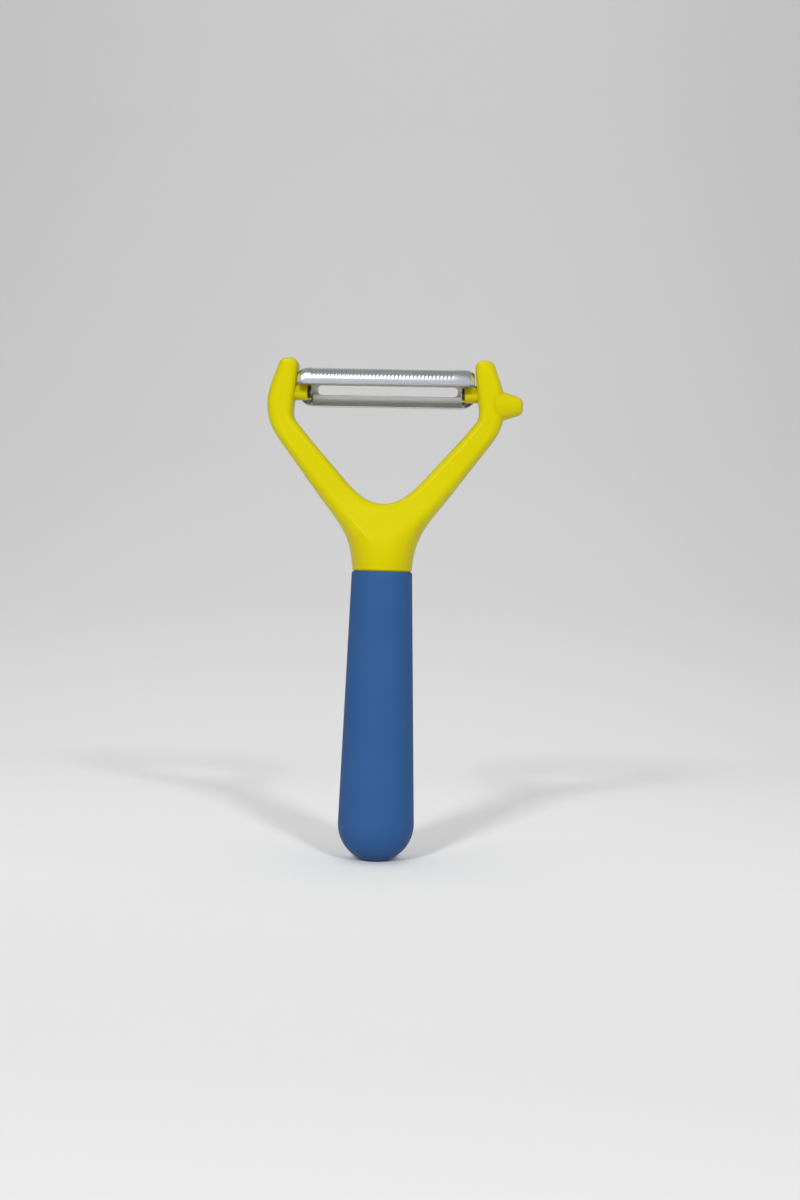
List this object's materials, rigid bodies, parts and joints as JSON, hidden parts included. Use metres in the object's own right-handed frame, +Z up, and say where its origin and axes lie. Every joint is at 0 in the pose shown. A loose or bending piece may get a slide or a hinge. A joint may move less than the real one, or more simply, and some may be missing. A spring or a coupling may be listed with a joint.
{
  "type": "vegetable peeler",
  "caption": "Forked hand peeler with a round tapered handle, a swivelling slotted blade held across the fork, and a blunt eye gouge on one arm.",
  "frame": {"origin": "centre of the small flat on the butt of the handle", "axes": "+Z up the handle towards the fork, +X along the blade towards the arm with the eye gouge, -Y the front shown in the picture"},
  "size_m": [0.0819, 0.0244, 0.1604],
  "materials": {
    "blue_grip": "fine matte",
    "yellow_moulding": "satin gloss",
    "blade_steel": "polished, with ground flutes",
    "pin_steel": "bright drawn wire"
  },
  "bodies": {
    "frame": {"handle_grip": "blue_grip", "fork_head": "yellow_moulding", "pivot_pin_left": "pin_steel", "pivot_pin_right": "pin_steel"},
    "blade": {"blade": "blade_steel"}
  },
  "joints": [
    {"name": "blade_swivel", "type": "hinge", "parent": "frame", "child": "blade", "pos_m": [0, 0, 0.1498], "axis": [1, 0, 0], "range_deg": [0, 46]}
  ]
}
